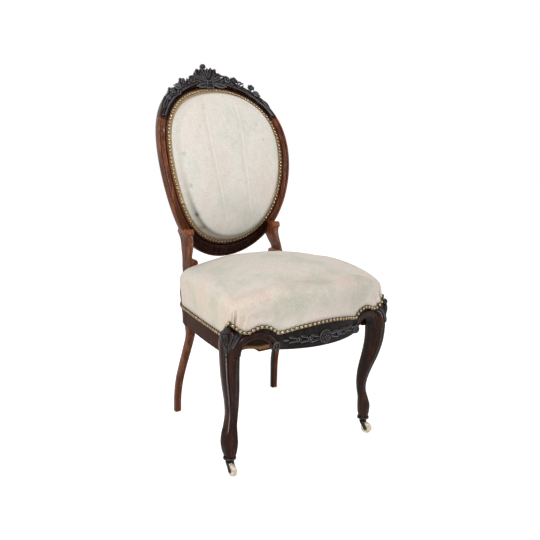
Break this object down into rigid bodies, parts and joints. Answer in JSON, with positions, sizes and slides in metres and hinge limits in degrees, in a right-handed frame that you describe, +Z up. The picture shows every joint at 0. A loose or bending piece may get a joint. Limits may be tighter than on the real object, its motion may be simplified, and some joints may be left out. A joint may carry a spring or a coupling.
{
  "type": "balloon back chair",
  "caption": "Side chair with an oval padded back in a moulded frame, carved crest, sprung upholstered seat, cabriole front legs on casters and splayed rear legs.",
  "frame": {"origin": "centre of the footprint box of the whole chair, on the floor", "axes": "+X to the sitter's left, -Y the front of the chair, +Z up"},
  "size_m": [0.4682, 0.6285, 0.9744],
  "materials": {
    "carved_wood": "near-black polished mahogany or walnut",
    "leg_wood": "dark reddish-brown polish",
    "polished_wood": "reddish-brown satin polish",
    "raw_wood": "unpolished frame wood",
    "velvet": "cream velvet",
    "stuffing": "hair and cotton wadding",
    "hessian": "plain jute cloth",
    "webbing": "woven jute webbing",
    "spring_steel": "dull wire",
    "brass_nails": "aged brass",
    "iron": "blackened iron",
    "porcelain": "aged cream porcelain glaze"
  },
  "bodies": {
    "chair": {"front_leg_right": "leg_wood", "front_leg_left": "leg_wood", "rear_leg_right": "polished_wood", "rear_leg_left": "polished_wood", "front_rail": "carved_wood", "side_rail_right": "carved_wood", "side_rail_left": "carved_wood", "rear_rail": "raw_wood", "front_batten": "raw_wood", "corner_block_front_right": "raw_wood", "corner_block_front_left": "raw_wood", "corner_block_rear_right": "raw_wood", "corner_block_rear_left": "raw_wood", "rail_dowels": "raw_wood", "back_dowels": "raw_wood", "crest_rail": "carved_wood", "crest_carving": "carved_wood", "back_stile_right": "polished_wood", "back_stile_left": "polished_wood", "back_bottom_rail": "polished_wood", "back_webbing": "webbing", "back_hessian": "hessian", "back_stuffing": "stuffing", "back_cover_front": "velvet", "back_cover_rear": "velvet", "seat_webbing": "webbing", "seat_springs": "spring_steel", "seat_hessian": "hessian", "seat_stuffing": "stuffing", "seat_cover": "velvet", "caster_plate_right": "iron", "caster_pintle_right": "iron", "caster_plate_left": "iron", "caster_pintle_left": "iron"},
    "right_swivel": {"caster_fork_right": "iron", "caster_axle_right": "iron"},
    "right_roller": {"caster_wheel_right": "porcelain"},
    "left_swivel": {"caster_fork_left": "iron", "caster_axle_left": "iron"},
    "left_roller": {"caster_wheel_left": "porcelain"}
  },
  "joints": [
    {"name": "caster_swivel_right", "type": "hinge", "parent": "chair", "child": "right_swivel", "pos_m": [0.2035, -0.2065, 0.0325], "axis": [0, 0, 1], "continuous": true},
    {"name": "caster_roll_right", "type": "hinge", "parent": "right_swivel", "child": "right_roller", "pos_m": [0.20843, -0.21577, 0.0144], "axis": [0.8829, 0.4695, 0], "continuous": true},
    {"name": "caster_swivel_left", "type": "hinge", "parent": "chair", "child": "left_swivel", "pos_m": [-0.2035, -0.2065, 0.0325], "axis": [0, 0, 1], "continuous": true},
    {"name": "caster_roll_left", "type": "hinge", "parent": "left_swivel", "child": "left_roller", "pos_m": [-0.20277, -0.21697, 0.0144], "axis": [0.9976, 0.0698, 0], "continuous": true}
  ]
}
